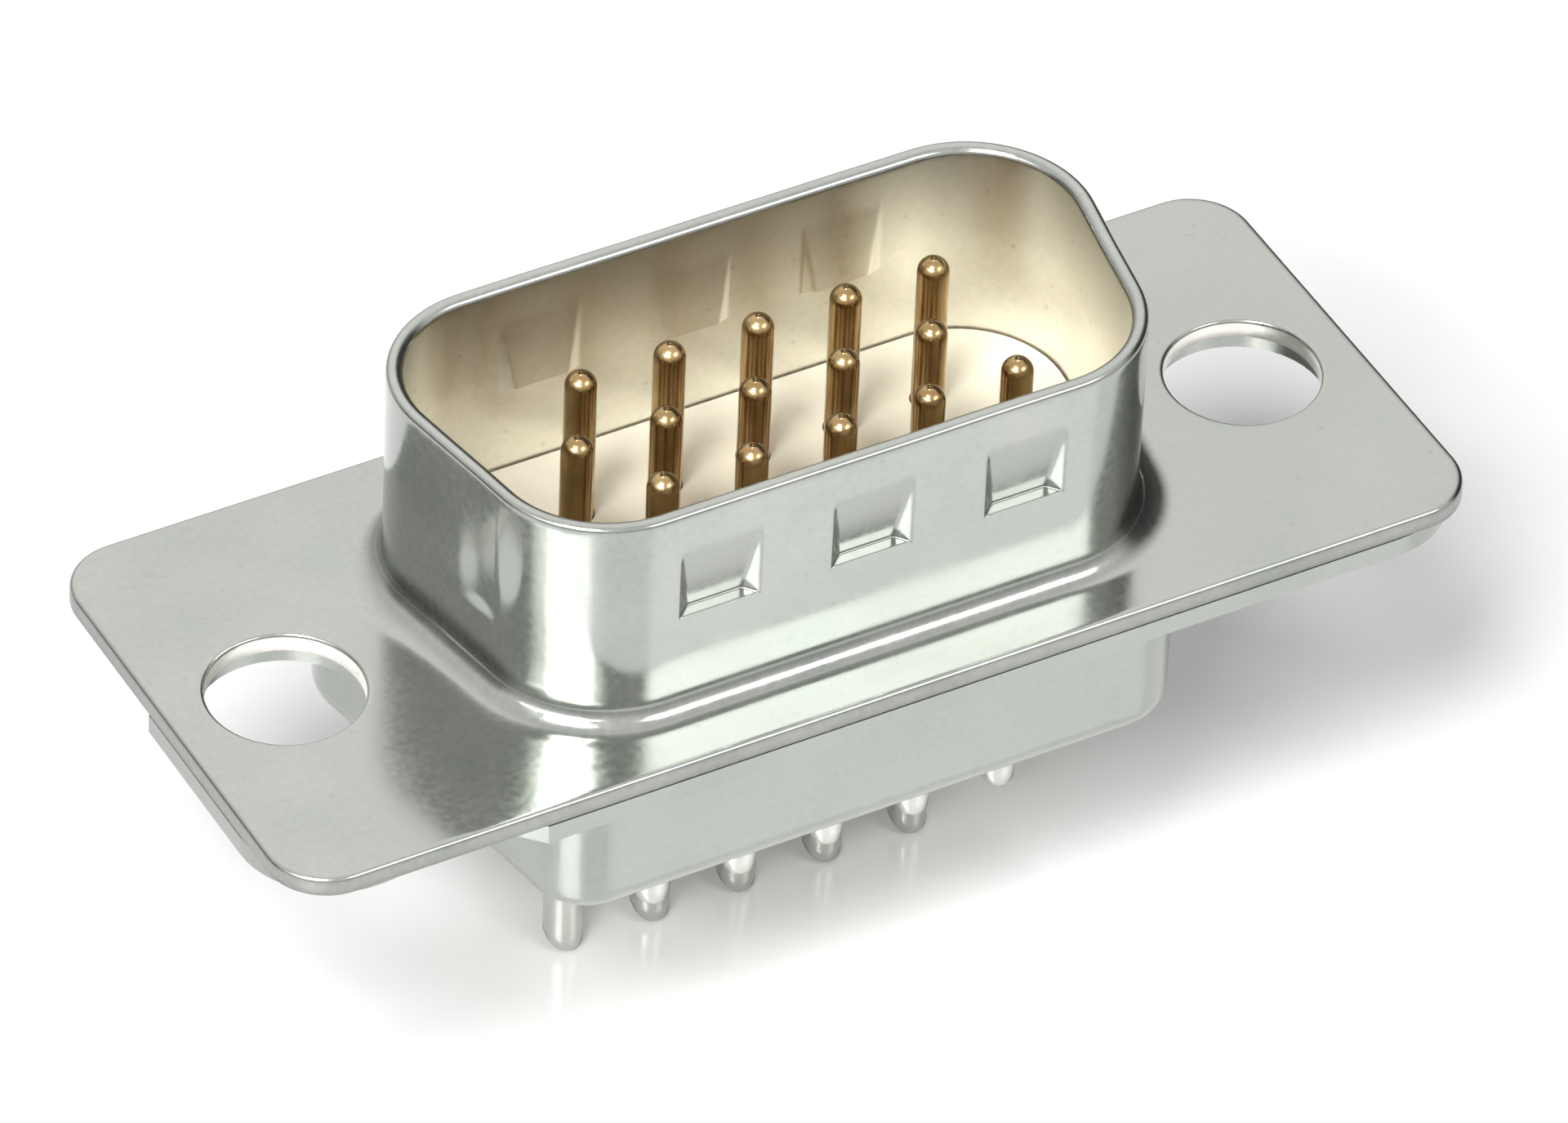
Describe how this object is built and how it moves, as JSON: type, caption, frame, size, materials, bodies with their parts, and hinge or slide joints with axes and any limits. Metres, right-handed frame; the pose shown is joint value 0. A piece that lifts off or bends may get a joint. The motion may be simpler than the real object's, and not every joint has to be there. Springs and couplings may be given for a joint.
{
  "type": "d-sub connector",
  "caption": "High-density male D-sub connector with a drawn metal shell, round pins and solder cups, held by a panel flange.",
  "frame": {"origin": "midway between the two mounting holes, on the front face of the flange", "axes": "+X along the flange, +Y towards the wide side of the D, +Z out of the mating face"},
  "size_m": [0.0308, 0.0126, 0.0165],
  "materials": {
    "tin_plate": "bright tin plating with faint drawing marks",
    "insulator": "cream moulded thermoplastic",
    "contact_plating": "thin gold plating in front, tinned tails behind"
  },
  "bodies": {
    "root": {"front_shell": "tin_plate", "rear_shell": "tin_plate", "front_insulator": "insulator", "rear_insulator": "insulator", "contact_01": "contact_plating", "contact_02": "contact_plating", "contact_03": "contact_plating", "contact_04": "contact_plating", "contact_05": "contact_plating", "contact_06": "contact_plating", "contact_07": "contact_plating", "contact_08": "contact_plating", "contact_09": "contact_plating", "contact_10": "contact_plating", "contact_11": "contact_plating", "contact_12": "contact_plating", "contact_13": "contact_plating", "contact_14": "contact_plating", "contact_15": "contact_plating"}
  },
  "joints": []
}
